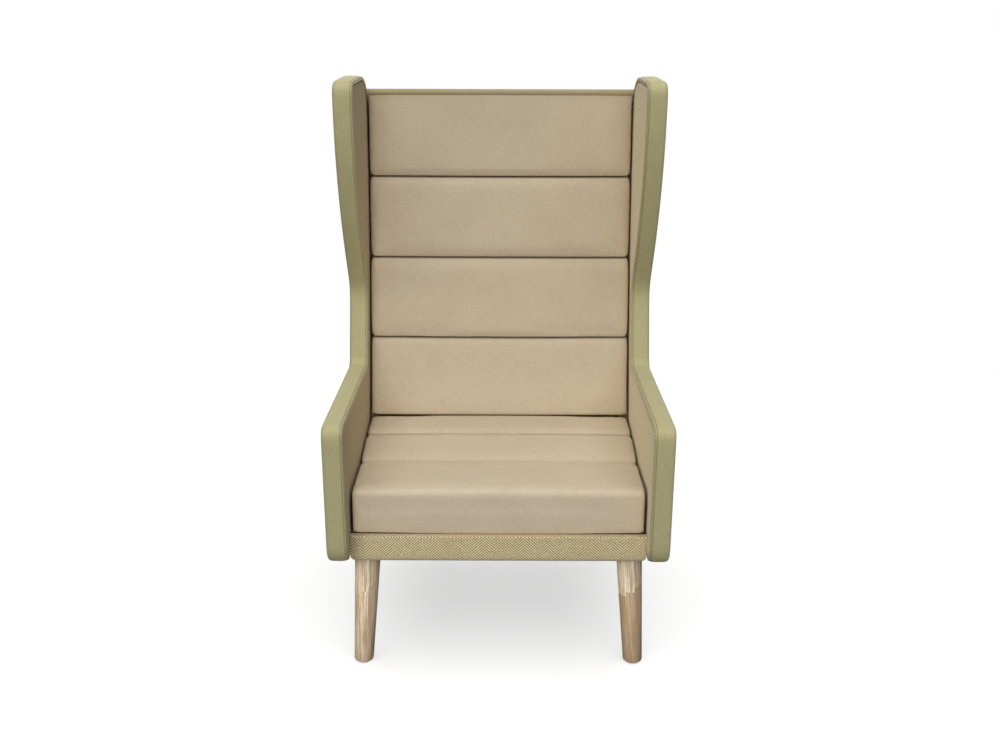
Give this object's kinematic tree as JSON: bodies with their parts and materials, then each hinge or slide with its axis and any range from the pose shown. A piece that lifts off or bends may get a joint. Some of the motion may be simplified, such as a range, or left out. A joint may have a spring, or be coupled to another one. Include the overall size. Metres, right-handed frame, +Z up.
{
  "type": "acoustic high back lounge chair",
  "caption": "Upholstered high back lounge chair with wing side panels in one with the arms, a channelled seat and back, and tapered round wooden legs.",
  "frame": {"origin": "centre of the footprint box on the floor", "axes": "+Z up, the seat faces -Y, +X to the right as seen from the front"},
  "size_m": [0.72, 0.8324, 1.219],
  "materials": {
    "cushion_fabric": "smooth plain-weave beige upholstery cloth with deep sewn channels",
    "band_fabric": "plain olive green upholstery cloth with a stitched edge seam",
    "herringbone_fabric": "herringbone weave in olive green and cream yarns",
    "lining_fabric": "black non-woven lining",
    "foam": "cut open-cell upholstery foam",
    "plywood": "sanded plywood, not lacquered",
    "beech": "planed solid beech",
    "leg_wood": "matt lacquered oak, laminated from staves",
    "steel": "zinc plated steel",
    "nylon": "moulded dark nylon",
    "elastic_webbing": "woven elastic webbing"
  },
  "bodies": {
    "root": {"back_board": "plywood", "back_cushion": "cushion_fabric", "back_foam": "foam", "back_post_left": "beech", "back_post_right": "beech", "back_rail_bottom": "beech", "back_rail_lumbar": "beech", "back_rail_top": "beech", "back_shell": "herringbone_fabric", "corner_block_front_left": "beech", "corner_block_front_right": "beech", "corner_block_rear_left": "beech", "corner_block_rear_right": "beech", "dust_cover": "lining_fabric", "front_rail_cover": "herringbone_fabric", "glide_front_left": "nylon", "glide_front_right": "nylon", "glide_rear_left": "nylon", "glide_rear_right": "nylon", "leg_bolt_front_left": "steel", "leg_bolt_front_right": "steel", "leg_bolt_rear_left": "steel", "leg_bolt_rear_right": "steel", "leg_front_left": "leg_wood", "leg_front_right": "leg_wood", "leg_plate_front_left": "steel", "leg_plate_front_right": "steel", "leg_plate_rear_left": "steel", "leg_plate_rear_right": "steel", "leg_rear_left": "leg_wood", "leg_rear_right": "leg_wood", "seat_cushion": "cushion_fabric", "seat_foam": "foam", "seat_rail_front": "beech", "seat_rail_left": "beech", "seat_rail_rear": "beech", "seat_rail_right": "beech", "seat_webbing": "elastic_webbing", "side_bolt_back_left": "steel", "side_bolt_back_right": "steel", "side_bolt_seat_front_left": "steel", "side_bolt_seat_front_right": "steel", "side_bolt_seat_rear_left": "steel", "side_bolt_seat_rear_right": "steel", "side_edge_band_left": "band_fabric", "side_edge_band_right": "band_fabric", "side_frame_left": "plywood", "side_frame_right": "plywood", "side_inner_pad_left": "herringbone_fabric", "side_inner_pad_right": "herringbone_fabric", "side_outer_pad_left": "herringbone_fabric", "side_outer_pad_right": "herringbone_fabric", "threaded_insert_back_left": "steel", "threaded_insert_back_right": "steel", "threaded_insert_seat_front_left": "steel", "threaded_insert_seat_front_right": "steel", "threaded_insert_seat_rear_left": "steel", "threaded_insert_seat_rear_right": "steel"}
  },
  "joints": []
}
